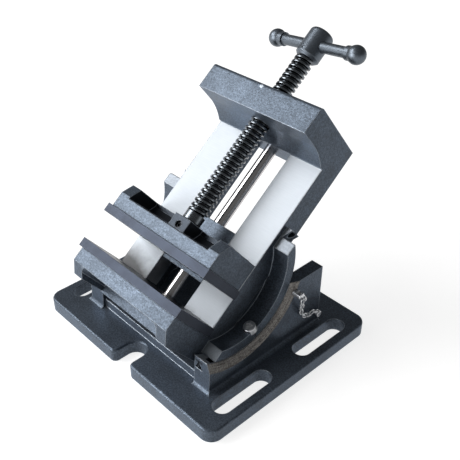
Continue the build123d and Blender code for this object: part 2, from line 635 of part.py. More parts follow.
# Moving jaw casting, with its screw boss and the tongue between the rails
jaw_back = moving_seat + JAW_DEPTH
jaw_bottom = RAIL_TOP + SLIDE_GAP
tongue_front = moving_seat - TONGUE_FRONT
tongue_back = moving_seat + TONGUE_BACK
tongue_width = RAIL_GAP - 2 * SLIDE_GAP
tongue_bottom = rail_bottom
with BuildPart() as moving_jaw:
    with BuildSketch(side_plane(-body_half)):
        with BuildLine():
            Polyline(
                (moving_seat, jaw_bottom),
                (moving_seat, jaw_top),
                (moving_seat + JAW_TOP, jaw_top),
                (jaw_back, jaw_top - JAW_SLOPE),
                (jaw_back, jaw_bottom),
                close=True,
            )
        make_face()
    extrude(amount=2 * body_half)

    # Pocket behind the jaw, between its cheeks
    with BuildSketch(side_plane(-body_half + CHEEK_WIDTH)):
        with BuildLine():
            Polyline(
                (moving_seat + POCKET_START, jaw_top + 1),
                (moving_seat + POCKET_START, jaw_top - 1),
                (moving_seat + POCKET_START + 2, POCKET_FLOOR + 3),
                (jaw_back - 3, POCKET_FLOOR),
                (jaw_back + 1, POCKET_FLOOR),
                (jaw_back + 1, jaw_top + 1),
                close=True,
            )
        make_face()
    extrude(amount=2 * (body_half - CHEEK_WIDTH), mode=Mode.SUBTRACT)

    # Boss round the screw's journal
    with BuildSketch(deck_plane(jaw_bottom)):
        with Locations((0, (moving_seat + POCKET_START - 1 + boss_back) / 2)):
            Rectangle(BOSS_WIDTH, boss_back - moving_seat - POCKET_START + 1)
    extrude(amount=BOSS_TOP - jaw_bottom)

    # Tongue between the rails
    with BuildSketch(deck_plane(tongue_bottom)):
        with Locations((0, (tongue_front + tongue_back) / 2)):
            Rectangle(tongue_width, tongue_back - tongue_front)
    extrude(amount=RAIL_TOP - tongue_bottom - SLIDE_GAP)
    with BuildSketch(deck_plane(tongue_bottom)):
        with Locations((0, (moving_seat + jaw_back) / 2)):
            Rectangle(tongue_width, jaw_back - moving_seat)
    extrude(amount=jaw_bottom - tongue_bottom)

    # Bores of the journal, its retaining screw, the guide rod and the fasteners
    with BuildSketch(cross_plane(boss_back + 1)):
        with Locations((0, SCREW_AXIS)):
            Circle(SCREW_NECK / 2 + RUNNING_FIT)
    extrude(amount=NECK_LENGTH + 1.5, mode=Mode.SUBTRACT)
    retainer_v = boss_back - RETAINER_BACK
    with BuildSketch(deck_plane(BOSS_TOP + 1)):
        with Locations((0, retainer_v)):
            Circle(RETAINER_DIAMETER / 2)
    extrude(amount=-(BOSS_TOP + 1 - SCREW_AXIS), mode=Mode.SUBTRACT)
    with BuildSketch(cross_plane(tongue_back + 1)):
        with Locations((0, ROD_AXIS)):
            Circle(ROD_DIAMETER / 2 + RUNNING_FIT)
    extrude(amount=tongue_back - tongue_front + 2, mode=Mode.SUBTRACT)
    with BuildSketch(cross_plane(moving_seat)):
        with GridLocations(PLATE_SCREW_SPACING, 1, 2, 1):
            Circle(PLATE_SCREW_DIAMETER / 2)
    extrude(amount=-(PLATE_SCREW_LENGTH - PLATE_THICKNESS), mode=Mode.SUBTRACT)
    keeper_v = (tongue_front + tongue_back) / 2
    with BuildSketch(deck_plane(tongue_bottom)):
        with Locations((0, keeper_v)):
            with GridLocations(2 * KEEPER_SCREW_X, 1, 2, 1):
                Circle(KEEPER_SCREW_DIAMETER / 2)
    extrude(amount=KEEPER_SCREW_LENGTH - 2, mode=Mode.SUBTRACT)

# Keeper plate under the rails, and its two cap screws
keeper_top = rail_bottom - SLIDE_GAP
with BuildPart() as keeper_plate:
    with BuildSketch(deck_plane(keeper_top - KEEPER_THICKNESS)):
        with Locations((0, keeper_v)):
            Rectangle(RAIL_GAP + 2 * KEEPER_OVERLAP, tongue_back - tongue_front)
    extrude(amount=KEEPER_THICKNESS)
    with BuildSketch(deck_plane(keeper_top)):
        with Locations((0, keeper_v)):
            Rectangle(tongue_width, tongue_back - tongue_front)
    extrude(amount=SLIDE_GAP)
    with BuildSketch(deck_plane(keeper_top - KEEPER_THICKNESS)):
        with Locations((0, keeper_v)):
            with GridLocations(2 * KEEPER_SCREW_X, 1, 2, 1):
                Circle(KEEPER_SCREW_DIAMETER / 2 + SCREW_FIT)
    extrude(amount=KEEPER_THICKNESS + 1, mode=Mode.SUBTRACT)
    with BuildSketch(deck_plane(keeper_top - KEEPER_THICKNESS)):
        with Locations((0, keeper_v)):
            with GridLocations(2 * KEEPER_SCREW_X, 1, 2, 1):
                Circle(KEEPER_SCREW_HEAD / 2 + SCREW_FIT)
    extrude(amount=KEEPER_SCREW_SINK + KEEPER_SCREW_HEIGHT, mode=Mode.SUBTRACT)

keeper_head = keeper_top - KEEPER_THICKNESS + KEEPER_SCREW_SINK
with BuildPart() as keeper_screws:
    with BuildSketch(deck_plane(keeper_head)):
        with Locations((0, keeper_v)):
            with GridLocations(2 * KEEPER_SCREW_X, 1, 2, 1):
                Circle(KEEPER_SCREW_HEAD / 2)
    extrude(amount=KEEPER_SCREW_HEIGHT)
    with BuildSketch(deck_plane(keeper_head)):
        with Locations((0, keeper_v)):
            with GridLocations(2 * KEEPER_SCREW_X, 1, 2, 1):
                Circle(KEEPER_SCREW_DIAMETER / 2)
    extrude(amount=KEEPER_SCREW_HEIGHT + KEEPER_SCREW_LENGTH)
    with BuildSketch(deck_plane(keeper_head)):
        with Locations((0, keeper_v)):
            with GridLocations(2 * KEEPER_SCREW_X, 1, 2, 1):
                RegularPolygon(KEEPER_SCREW_SOCKET / 2, 6, major_radius=False)
    extrude(amount=SOCKET_DEPTH, mode=Mode.SUBTRACT)

# Grub screw in the boss, with its dog point in the groove of the journal
groove_top = SCREW_AXIS + SCREW_GROOVE / 2
retainer_top = BOSS_TOP - RETAINER_SINK
retainer_low = SCREW_AXIS + SCREW_NECK / 2 + SLIDE_GAP
with BuildPart() as screw_retainer:
    with BuildSketch(deck_plane(retainer_top)):
        with Locations((0, retainer_v)):
            Circle(RETAINER_DIAMETER / 2)
    extrude(amount=retainer_low - retainer_top)
    with BuildSketch(deck_plane(groove_top + SLIDE_GAP)):
        with Locations((0, retainer_v)):
            Circle(RETAINER_POINT / 2)
    extrude(amount=retainer_low - groove_top)
    with BuildSketch(deck_plane(retainer_top)):
        with Locations((0, retainer_v)):
            RegularPolygon(RETAINER_SOCKET / 2, 6, major_radius=False)
    extrude(amount=(retainer_low - retainer_top) / 2, mode=Mode.SUBTRACT)

# Lead screw: journal with a groove, plain collar and threaded length up to the hub
hub_back = hub_front + HUB_LENGTH
hub_pin_v = hub_front + HUB_PIN_PLACE
with BuildPart() as lead_screw:
    with BuildSketch(cross_plane(boss_back + SLIDE_GAP)):
        with Locations((0, SCREW_AXIS)):
            Circle(SCREW_NECK / 2)
    extrude(amount=NECK_LENGTH + SLIDE_GAP)
    with BuildSketch(cross_plane(hub_front)):
        with Locations((0, SCREW_AXIS)):
            Circle(SCREW_DIAMETER / 2)
    extrude(amount=hub_front - boss_back - SLIDE_GAP)
    with BuildSketch(cross_plane(hub_front + 6)):
        with Locations((0, SCREW_AXIS)):
            Circle(SCREW_NECK / 2)
    extrude(amount=6)
    with BuildSketch(cross_plane(retainer_v + 2)):
        with Locations((0, SCREW_AXIS)):
            Circle(SCREW_NECK)
            Circle(SCREW_GROOVE / 2, mode=Mode.SUBTRACT)
    extrude(amount=4, mode=Mode.SUBTRACT)
    with BuildSketch(deck_plane(SCREW_AXIS - SCREW_DIAMETER)):
        with Locations((0, hub_pin_v)):
            Circle(HUB_PIN_DIAMETER / 2)
    extrude(amount=2 * SCREW_DIAMETER, mode=Mode.SUBTRACT)

# Hub on the end of the screw, cross-bored for the tommy bar
turn = radians(HANDLE_TURN)
bar_plane = Plane(
    origin=place(0, bar_v, SCREW_AXIS),
    x_dir=(0, tilt_cos, tilt_sin),
    z_dir=(cos(turn), -tilt_sin * sin(turn), tilt_cos * sin(turn)),
)
with BuildPart() as handle_hub:
    with BuildSketch(cross_plane(hub_back)):
        with Locations((0, SCREW_AXIS)):
            Circle(HUB_DIAMETER / 2)
    extrude(amount=HUB_LENGTH)
    chamfer(handle_hub.edges().filter_by(GeomType.CIRCLE).sort_by(Axis.Z)[0], HUB_CHAMFER)
    fillet(handle_hub.edges().filter_by(GeomType.CIRCLE).sort_by(Axis.Z)[-1], HUB_ROUND)
    with BuildSketch(cross_plane(hub_front + 6)):
        with Locations((0, SCREW_AXIS)):
            Circle(SCREW_NECK / 2)
    extrude(amount=7, mode=Mode.SUBTRACT)
    with BuildSketch(bar_plane):
        Circle(BAR_DIAMETER / 2 + RUNNING_FIT)
    extrude(amount=HUB_DIAMETER, both=True, mode=Mode.SUBTRACT)
    with BuildSketch(deck_plane(SCREW_AXIS - HUB_DIAMETER)):
        with Locations((0, hub_pin_v)):
            Circle(HUB_PIN_DIAMETER / 2)
    extrude(amount=2 * HUB_DIAMETER, mode=Mode.SUBTRACT)

with BuildPart() as hub_pin:
    with BuildSketch(deck_plane(SCREW_AXIS - HUB_DIAMETER / 2 + 0.4)):
        with Locations((0, hub_pin_v)):
            Circle(HUB_PIN_DIAMETER / 2)
    extrude(amount=HUB_DIAMETER - 0.8)

# Tommy bar and its two end balls
with BuildPart() as tommy_bar:
    with BuildSketch(bar_plane):
        Circle(BAR_DIAMETER / 2)
    extrude(amount=BAR_REACH - BALL_DIAMETER / 2 + BAR_SINK, both=True)

bar_balls = []
for side in (-1, 1):
    ball_plane = bar_plane.offset(side * BAR_REACH)
    with BuildPart(ball_plane) as bar_ball:
        Sphere(BALL_DIAMETER / 2)
        with BuildSketch(bar_plane.offset(side * (BAR_REACH - BALL_DIAMETER / 2 - 1.5))):
            Circle(BALL_NECK / 2)
        extrude(amount=side * 4)
        with BuildSketch(bar_plane):
            Circle(BAR_DIAMETER / 2)
        extrude(amount=side * (BAR_REACH - BALL_DIAMETER / 2 + BAR_SINK), mode=Mode.SUBTRACT)
    bar_balls.append(bar_ball)

# Lock screws and the clamp nuts that they draw up in the T-slots
lock_turn = TILT - LOCK_ANGLE
head_seat = RIM_RADIUS - RIM_THICKNESS + LOCK_HEAD_SINK
lock_sets = []
for side in (-1, 1):
    with BuildPart() as lock_screw:
        with BuildSketch(rim_plane(head_seat, lock_turn)):
            with Locations((side * lock_x, 0)):
                Circle(LOCK_HEAD / 2)
        extrude(amount=LOCK_HEAD_HEIGHT)
        fillet(lock_screw.edges().filter_by(GeomType.CIRCLE), 0.4)
        with BuildSketch(rim_plane(head_seat, lock_turn)):
            with Locations((side * lock_x, 0)):
                Circle(LOCK_DIAMETER / 2)
        extrude(amount=-(track_radius + NUT_DEPTH + NUT_THICKNESS - 1 - head_seat))
        with BuildSketch(rim_plane(head_seat - LOCK_HEAD_HEIGHT, lock_turn)):
            with Locations((side * lock_x, 0)):
                RegularPolygon(LOCK_SOCKET / 2, 6, major_radius=False)
        extrude(amount=-SOCKET_DEPTH, mode=Mode.SUBTRACT)
    with BuildPart() as clamp_nut:
        with BuildSketch(spoke_plane(lock_turn - NUT_SPAN / 2)):
            with Locations((side * lock_x, track_radius + NUT_DEPTH + SLIDE_GAP / 2 + NUT_THICKNESS / 2)):
                Rectangle(NUT_WIDTH - SLIDE_GAP, NUT_THICKNESS - SLIDE_GAP)
        revolve(axis=tilt_axis, revolution_arc=NUT_SPAN)
        with BuildSketch(rim_plane(RIM_RADIUS, lock_turn)):
            with Locations((side * lock_x, 0)):
                Circle(LOCK_DIAMETER / 2 + RUNNING_FIT)
        extrude(amount=-(track_radius + NUT_DEPTH + NUT_THICKNESS + 1 - RIM_RADIUS), mode=Mode.SUBTRACT)
    lock_sets.append((lock_screw, clamp_nut))

# Chain from the ring to its anchor, of oval links turned a quarter to each other, and the anchor's screw
link_straight = LINK_LENGTH - LINK_WIDTH
with BuildPart() as pin_chain:
    for index in range(LINK_COUNT):
        way = (joints[index + 1] - joints[index]).normalized()
        middle = (joints[index + 1] + joints[index]) / 2
        across = Vector(1, 0, 0).cross(way).normalized()
        facing = way.cross(across)
        if index % 2:
            across, facing = facing, across * -1
        with BuildSketch(Plane(origin=middle, x_dir=across, z_dir=way)):
            with Locations((-LINK_WIDTH / 2, 0), (LINK_WIDTH / 2, 0)):
                Circle(LINK_WIRE / 2)
        extrude(amount=link_straight / 2, both=True)
        for end in (-1, 1):
            bow = middle + way * (end * link_straight / 2)
            with BuildSketch(Plane(origin=bow, x_dir=across, z_dir=way)):
                with Locations((LINK_WIDTH / 2, 0)):
                    Circle(LINK_WIRE / 2)
            revolve(axis=Axis(bow, facing * -end), revolution_arc=180)

with BuildPart() as chain_anchor_screw:
    head_start = anchor.X + LINK_WIRE / 2 + SLIDE_GAP
    with BuildSketch(Plane.YZ.offset(wall_outer - ANCHOR_DEPTH + SLIDE_GAP)):
        with Locations((anchor_y, anchor_z)):
            Circle(ANCHOR_DIAMETER / 2)
    extrude(amount=head_start - wall_outer + ANCHOR_DEPTH)
    with BuildSketch(Plane.YZ.offset(head_start)):
        with Locations((anchor_y, anchor_z)):
            Circle(ANCHOR_HEAD / 2)
    extrude(amount=ANCHOR_HEAD_HEIGHT)
    fillet(chain_anchor_screw.edges().filter_by(GeomType.CIRCLE).sort_by(Axis.X)[-1], ANCHOR_HEAD_HEIGHT / 2)

for piece, label in (
    (base_casting, "base_casting"),
    (zero_pin, "zero_pin"),
    (pin_ring, "pin_ring"),
    (vise_body, "vise_body"),
    (guide_rod, "guide_rod"),
    (guide_rod_pin, "guide_rod_pin"),
    (fixed_jaw_plate, "fixed_jaw_plate"),
    (fixed_plate_screws, "fixed_plate_screws"),
    (moving_jaw_plate, "moving_jaw_plate"),
    (moving_plate_screws, "moving_plate_screws"),
    (moving_jaw, "moving_jaw"),
    (keeper_plate, "keeper_plate"),
    (keeper_screws, "keeper_screws"),
    (screw_retainer, "screw_retainer"),
    (lead_screw, "lead_screw"),
    (handle_hub, "handle_hub"),
    (hub_pin, "hub_pin"),
    (tommy_bar, "tommy_bar"),
    (bar_balls[0], "left_bar_ball"),
    (bar_balls[1], "right_bar_ball"),
    (lock_sets[0][0], "left_lock_screw"),
    (lock_sets[1][0], "right_lock_screw"),
    (lock_sets[0][1], "left_clamp_nut"),
    (lock_sets[1][1], "right_clamp_nut"),
    (pin_chain, "pin_chain"),
    (chain_anchor_screw, "chain_anchor_screw"),
):
    piece.part.label = label
    export_step(piece.part, f"parts/{label}.step")
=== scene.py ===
import json
import math

import bmesh
import bpy
import numpy as np
from mathutils import Matrix, Vector


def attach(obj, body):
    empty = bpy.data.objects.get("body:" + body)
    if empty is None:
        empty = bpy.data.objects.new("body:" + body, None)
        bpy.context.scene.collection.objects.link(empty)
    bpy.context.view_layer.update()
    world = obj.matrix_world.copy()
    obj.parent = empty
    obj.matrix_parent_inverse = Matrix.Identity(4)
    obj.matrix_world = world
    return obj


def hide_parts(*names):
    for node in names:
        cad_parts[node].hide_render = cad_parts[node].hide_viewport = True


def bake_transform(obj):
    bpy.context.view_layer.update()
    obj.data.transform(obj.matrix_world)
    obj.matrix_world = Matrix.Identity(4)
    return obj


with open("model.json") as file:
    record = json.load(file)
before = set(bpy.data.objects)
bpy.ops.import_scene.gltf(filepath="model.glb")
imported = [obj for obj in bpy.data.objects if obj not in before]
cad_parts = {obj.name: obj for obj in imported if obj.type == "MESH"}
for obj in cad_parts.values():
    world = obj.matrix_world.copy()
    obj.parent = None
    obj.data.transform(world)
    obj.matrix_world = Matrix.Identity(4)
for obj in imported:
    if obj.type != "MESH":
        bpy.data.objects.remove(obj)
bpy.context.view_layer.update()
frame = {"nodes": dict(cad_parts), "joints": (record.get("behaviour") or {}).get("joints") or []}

# The studio: a white table in a white room with a dim ceiling, a large soft lamp up at the left front, and
# a low fill in front. The camera stands off the front right corner and looks down at about 35 degrees.
camera_place = Vector((0.30721, -0.27027, 0.36273))
camera_azimuth = math.radians(46.18)
camera_elevation = math.radians(34.68)
camera_roll = math.radians(0.62)
photo_side_pixels = 460
focal_pixels = 727.34
sensor_width = 36.0

towards_lens = Vector((
    math.sin(camera_azimuth) * math.cos(camera_elevation),
    -math.cos(camera_azimuth) * math.cos(camera_elevation),
    math.sin(camera_elevation),
))
level = Vector((math.cos(camera_azimuth), math.sin(camera_azimuth), 0))
upright = towards_lens.cross(level)
right = level * math.cos(camera_roll) + upright * math.sin(camera_roll)
up = upright * math.cos(camera_roll) - level * math.sin(camera_roll)
camera = bpy.data.objects.new("camera", bpy.data.cameras.new("camera"))
camera_turn = Matrix((right, up, towards_lens)).transposed().to_4x4()
camera.matrix_world = Matrix.Translation(camera_place) @ camera_turn
camera.data.sensor_width = sensor_width
camera.data.lens = focal_pixels / photo_side_pixels * sensor_width
bpy.context.scene.collection.objects.link(camera)
bpy.context.scene.camera = camera
bpy.context.scene.view_settings.view_transform = "Standard"

lamp_distance = 3.0
lamp_aim = Vector((0, 0, 0.08))


def softbox(name, direction, size, radiance):
    """A square area lamp that stands off along a direction and faces the vise."""
    light = bpy.data.lights.new(name, "AREA")
    light.size = size
    light.energy = radiance * math.pi * size * size
    away = Vector(direction).normalized()
    turn = away.to_track_quat("Z", "Y").to_matrix().to_4x4()
    holder = bpy.data.objects.new(name, light)
    holder.matrix_world = Matrix.Translation(lamp_aim + away * lamp_distance) @ turn
    bpy.context.scene.collection.objects.link(holder)


softbox("key_lamp", (-0.64, -0.43, 0.64), size=1.6, radiance=8.6)
softbox("front_lamp", (-0.38, -1.0, 0.16), size=2.0, radiance=8.0)


class Value:
    """One output of some nodes. Arithmetic on it adds Math nodes, on either side of a number."""

    def __init__(self, nodes, socket):
        self.nodes = nodes
        self.socket = socket

    def maths(self, operation, *values):
        return self.nodes.maths(operation, *values)

    def __add__(self, other):
        return self.maths("ADD", self, other)

    __radd__ = __add__

    def __mul__(self, other):
        return self.maths("MULTIPLY", self, other)

    __rmul__ = __mul__

    def __sub__(self, other):
        return self.maths("SUBTRACT", self, other)

    def __rsub__(self, other):
        return self.maths("SUBTRACT", other, self)

    def __truediv__(self, other):
        return self.maths("DIVIDE", self, other)

    def __neg__(self):
        return self.maths("MULTIPLY", self, -1)

    def __abs__(self):
        return self.maths("ABSOLUTE", self)

    def __gt__(self, other):
        return self.maths("GREATER_THAN", self, other)

    def __lt__(self, other):
        return self.maths("LESS_THAN", self, other)


class Nodes:
    """A node tree whose nodes are all made with node()."""

    def __init__(self, tree):
        self.tree = tree

    def node(self, kind, settings, *values, out=0, **named):
        """Makes a node with its settings, fills its sockets by order or by name, and returns one output."""
        node = self.tree.nodes.new(kind)
        for key, value in settings.items():
            setattr(node, key, value)
        sockets = [s for s in node.inputs if s.enabled]
        results = [s for s in node.outputs if s.enabled]
        given = [*zip(sockets, values), *((node.inputs[name], value) for name, value in named.items())]
        for socket, value in given:
            if isinstance(value, Value):
                self.tree.links.new(value.socket, socket)
            elif value is not None:
                socket.default_value = value
        result = results[out] if isinstance(out, int) else next(s for s in results if s.name == out)
        return Value(self, result)

    def maths(self, operation, *values):
        """Result of one Math node."""
        return self.node("ShaderNodeMath", {"operation": operation}, *values)

    def spread(self, value, low, high, to_low=0.0, to_high=1.0):
        """A value's range from low to high, clamped and spread over another range."""
        return self.node("ShaderNodeMapRange", {}, value, low, high, to_low, to_high)

    def mix(self, mask, under, over):
        """Colour under, going over to colour over where the mask is 1."""
        under, over = [c if isinstance(c, Value) else (*c, 1) for c in (under, over)]
        return self.node("ShaderNodeMix", {"data_type": "RGBA"}, mask, under, over)

    def blend(self, mask, under, over):
        """Number under, going over to number over where the mask is 1."""
        return under + mask * (over - under)

    def either(self, *masks):
        """Mask of the places where any of some masks is 1."""
        joined = masks[0]
        for mask in masks[1:]:
            joined = self.maths("MAXIMUM", joined, mask)
        return joined


class Finish(Nodes):
    """A material's nodes, with constants set on its Principled shader and changing values fed to it."""

    def __init__(self, name, **constants):
        self.material = bpy.data.materials.new(name)
        self.material.use_nodes = True
        super().__init__(self.material.node_tree)
        self.shader = self.tree.nodes["Principled BSDF"]
        for socket, value in constants.items():
            self.shader.inputs[socket.replace("_", " ").title().replace("Ior", "IOR")].default_value = value
        self.place = self.node("ShaderNodeTexCoord", {}, out="Object")

    def feed(self, **sockets):
        """Links changing values to the shader's own sockets."""
        for name, value in sockets.items():
            self.tree.links.new(value.socket, self.shader.inputs[name.replace("_", " ").title()])

    def noise(self, scale, detail=3.0, roughness=0.6, place=None):
        """Fractal noise about 0.5, with scale in waves per metre."""
        return self.node(
            "ShaderNodeTexNoise", {}, Vector=place or self.place, Scale=scale, Detail=detail,
            Roughness=roughness)

    def bump(self, height, distance, strength, under=None):
        """Normal of a height in the unit range, whose full range is distance metres."""
        return self.node(
            "ShaderNodeBump", {}, Strength=strength, Distance=distance, Height=height, Normal=under)

    def rounded(self, radius):
        """Normal that turns smoothly over each edge, and a mask of those edges."""
        soft = self.node("ShaderNodeBevel", {"samples": 6}, Radius=radius)
        flat = self.node("ShaderNodeNewGeometry", {}, out="Normal")
        turn = self.node("ShaderNodeVectorMath", {"operation": "DOT_PRODUCT"}, soft, flat, out="Value")
        return soft, 1 - turn

    def along(self, directions, origin):
        """Distances of the shaded point from an origin along each direction."""
        offset = self.node("ShaderNodeVectorMath", {"operation": "SUBTRACT"}, self.place, tuple(origin))
        return [
            self.node("ShaderNodeVectorMath", {"operation": "DOT_PRODUCT"}, offset, tuple(way), out="Value")
            for way in directions
        ]

    def streaks(self, distances, scales):
        """Noise drawn out along some directions: a scale in waves per metre for each distance."""
        stretched = [distance * scale for distance, scale in zip(distances, scales)]
        return self.noise(1.0, 2.0, place=self.node("ShaderNodeCombineXYZ", {}, *stretched))


# The world's light by height, as the sine of its elevation: bright walls, dim ceiling.
wall_end, wall_light = 0.08, 0.50
ceiling_start, ceiling_light = 0.22, 0.14
room = bpy.data.worlds.new("studio")
bpy.context.scene.world = room
room.use_nodes = True
room_nodes = Nodes(room.node_tree)
room_way = room_nodes.node("ShaderNodeTexCoord", {}, out="Generated")
room_height = room_nodes.node("ShaderNodeSeparateXYZ", {}, room_way, out="Z")
room_light = room_nodes.spread(room_height, wall_end, ceiling_start, wall_light, ceiling_light)
room_backing = room.node_tree.nodes["Background"]
room_backing.inputs["Color"].default_value = (1, 1, 1, 1)
room.node_tree.links.new(room_light.socket, room_backing.inputs["Strength"])

table_half = 6.0
table_grey = (0.42, 0.42, 0.42)
table_glow = (0.80, 0.80, 0.80)
table_corners = np.array([(-1, -1, 0), (1, -1, 0), (1, 1, 0), (-1, 1, 0)]) * table_half
table_mesh = bpy.data.meshes.new("table_top")
table_mesh.from_pydata(table_corners.tolist(), [], [(0, 1, 2, 3)])
table_top = bpy.data.objects.new("table_top", table_mesh)
bpy.context.scene.collection.objects.link(table_top)
white_top = Finish(
    "white_top", base_color=(*table_grey, 1), roughness=1.0, specular_ior_level=0.0, emission_strength=1.0)
white_seen = white_top.either(*[
    white_top.node("ShaderNodeLightPath", {}, out=ray)
    for ray in ("Is Camera Ray", "Is Glossy Ray", "Is Transmission Ray")
])
white_top.feed(emission_color=white_top.mix(white_seen, (0, 0, 0), table_glow))
table_mesh.materials.append(white_top.material)


# Base: a grey-iron casting, sprayed like the vise body and the moving jaw with a hammered grey-blue
# enamel. Its concave tracks are bored, the right one has a bevelled band with a tick at each degree of
# tilt, and an arrow is cast in the front of the right wall.
tilt_joint = next(j for j in frame["joints"] if j["name"] == "tilt")
tilt_centre = Vector(tilt_joint["pos_m"])
sideways = Vector((1, 0, 0))
base_ways = (sideways, Vector((0, 1, 0)), Vector((0, 0, 1)))
track_radius = 0.0516
track_top = -0.019
bevel_start = 0.0622
bevel_width = 0.0028
bevel_depth = 0.0057
bevel_slope = bevel_depth / bevel_width
# Width of a pale line along the band's outer edge: rubbed steel, and partly a painted highlight.
bevel_rub_highlight = 0.00035
lock_degrees = -20.0
scale_end = 60
scale_margin = 0.3
tick_length, tick_half_degrees = 0.0016, 0.10
five_length, five_half_degrees = 0.0026, 0.13
arrow_x, arrow_half = 0.0546, 0.0034
arrow_front, arrow_back = -0.0275, -0.0248
arrow_foot, arrow_tip = -0.0536, -0.0462
skin = 0.0003

enamel_dark = (0.016, 0.017, 0.019)
enamel_light = (0.130, 0.160, 0.203)
# Pale edge colour: worn paint, and partly a painted highlight.
enamel_worn_highlight = (0.38, 0.42, 0.47)
# Dark colour of painted shade on the enamel.
enamel_painted_shade = (0.012, 0.011, 0.011)
steel_dark = (0.40, 0.43, 0.465)
steel_light = (0.64, 0.67, 0.70)
# Dark colour of painted shade on machined steel.
steel_painted_shade = (0.085, 0.082, 0.080)
scale_dark = (0.075, 0.068, 0.061)
scale_light = (0.36, 0.345, 0.325)
black_fill = (0.012, 0.012, 0.013)
enamel_roughness = 0.30
steel_roughness = 0.60
fill_roughness = 0.5
edge_radius = 0.0011
enamel_depth = 0.00020

grain_waves = 1050
dimple_waves = 430
cloud_waves = 26
fleck_waves = 950
patch_waves = 90
lathe_waves = (1900, 45)
base_cut_waves = (90, 1800, 1800)
sweep_radius = 0.05


def near(value, target, width=skin):
    """Mask of the places where a value is within width of a target."""
    return abs(value - target) < width


def painted_iron(name, ways, cut_waves, mark):
    """Hammered enamel over sand-cast iron, machined, filled, chipped and given painted shade where mark()
    says.

    mark() takes the distances from the tilt axis along the piece's ways and gives masks of machined steel,
    turned scale, black fill, chips and painted shade. The enamel's height and grey are fine fractal grain on
    broader dimples, rubbed pale where the surface turns over an edge, partly as worn paint and partly as a
    painted highlight. Machined steel is noise drawn out along the cutting direction, and the scale's steel
    is noise drawn out round the tilt axis."""
    finish = Finish(name, specular_ior_level=0.45, specular_tint=(0.62, 0.78, 1.0, 1))
    distances = finish.along(ways, tilt_centre)
    machined, scale, filled, chip, painted_shade = mark(finish, *distances)
    soft, edge = finish.rounded(edge_radius)
    grain = finish.noise(grain_waves, 1.5, 0.55)
    dimples = finish.noise(dimple_waves, 1.0, 0.5)
    cloud = finish.noise(cloud_waves)
    flecks = finish.spread(finish.noise(fleck_waves, 2.0), 0.36, 0.66)
    patches = finish.spread(finish.noise(patch_waves, 4.0, 0.65), 0.36, 0.60, 0.75, 1.0)
    tone = finish.blend(0.25, 0.2 + 0.8 * flecks, finish.spread(cloud, 0.3, 0.7)) * patches
    # Pale edges are partly worn paint and partly a painted highlight; chips are worn paint.
    worn_and_highlit = finish.either(finish.spread(edge * (0.55 + grain), 0.025, 0.14, 0.0, 0.9), chip)
    enamel = finish.mix(tone, enamel_dark, enamel_light)
    # Painted shade darkens the enamel where mark() gives it, and the steel below.
    enamel = finish.mix(painted_shade, enamel, enamel_painted_shade)
    enamel = finish.mix(worn_and_highlit, enamel, enamel_worn_highlight)

    cuts = finish.streaks(distances, cut_waves)
    steel = finish.mix(finish.blend(0.5, cuts, cloud), steel_dark, steel_light)
    steel = finish.mix(painted_shade, steel, steel_painted_shade)
    _, back, rise = distances
    radius = finish.maths("SQRT", back * back + rise * rise)
    sweep = finish.maths("ARCTAN2", back, rise) * sweep_radius
    lathe_cuts = finish.streaks((radius, sweep), lathe_waves)
    scale_tone = finish.spread(finish.blend(0.45, lathe_cuts, grain), 0.36, 0.64)
    steel = finish.mix(scale, steel, finish.mix(scale_tone, scale_dark, scale_light))

    metal = finish.either(machined, scale)
    enamel_height = 0.35 * grain + 0.65 * dimples
    steel_height = 0.12 * cuts + 0.08 * grain * scale
    height = finish.blend(metal, enamel_height, steel_height) - 0.5 * filled
    roughness = finish.blend(metal, enamel_roughness + 0.12 * dimples, steel_roughness + 0.12 * cuts)
    finish.feed(
        base_color=finish.mix(filled, finish.mix(metal, enamel, steel), black_fill),
        metallic=finish.blend(metal, (0.22 + 0.38 * flecks) * patches, 1.0) * (1 - filled),
        roughness=finish.blend(filled, roughness, fill_roughness),
        normal=finish.bump(height, enamel_depth, 0.5, soft),
    )
    return finish.material


def wear(node, material):
    """Gives a CAD node one material."""
    mesh = frame["nodes"][node].data
    mesh.materials.clear()
    mesh.materials.append(material)


def base_marks(finish, x, y, z):
    """The base's bored tracks and underside, its bevelled scale band, and the band's ticks and the arrow.

    The band is where the radius grows with x at the bevel's slope. A tick is where the angle about the
    tilt axis is close to a whole degree from 0 to 60, and every fifth tick is longer."""
    outward = finish.maths("SQRT", y * y + z * z) - track_radius
    on_slope = near(outward, (x - bevel_start) * bevel_slope)
    band = on_slope * (x > bevel_start - skin) * (outward < bevel_depth + skin)
    track = near(outward, 0) * (z < track_top) * (abs(x) < bevel_start + skin)
    under = z < -tilt_centre.z + skin
    # Pale steel line along the band's outer edge, partly rubbed steel and partly a painted highlight.
    rubbed = near(outward, bevel_depth, bevel_rub_highlight) * on_slope * 0.8
    tilt = finish.maths("ARCTAN2", y, -z) * math.degrees(1) - lock_degrees
    on_scale = (tilt > -scale_margin) * (tilt < scale_end + scale_margin)
    off_degree = abs(finish.maths("FRACT", tilt + 0.5) - 0.5)
    off_five = abs(finish.maths("FRACT", tilt / 5 + 0.5) - 0.5) * 5
    degrees = (off_degree < tick_half_degrees) * (outward < tick_length)
    fives = (off_five < five_half_degrees) * (outward < five_length)
    ticks = finish.either(degrees, fives) * band * on_scale
    in_arrow = near(x, arrow_x, arrow_half) * (z > arrow_foot) * (z < arrow_tip)
    arrow = in_arrow * (y > arrow_front) * (y < arrow_back)
    return finish.either(track, under, rubbed), band, finish.either(ticks, arrow), 0, 0


wear("base_casting", painted_iron("base_iron", base_ways, base_cut_waves, base_marks))
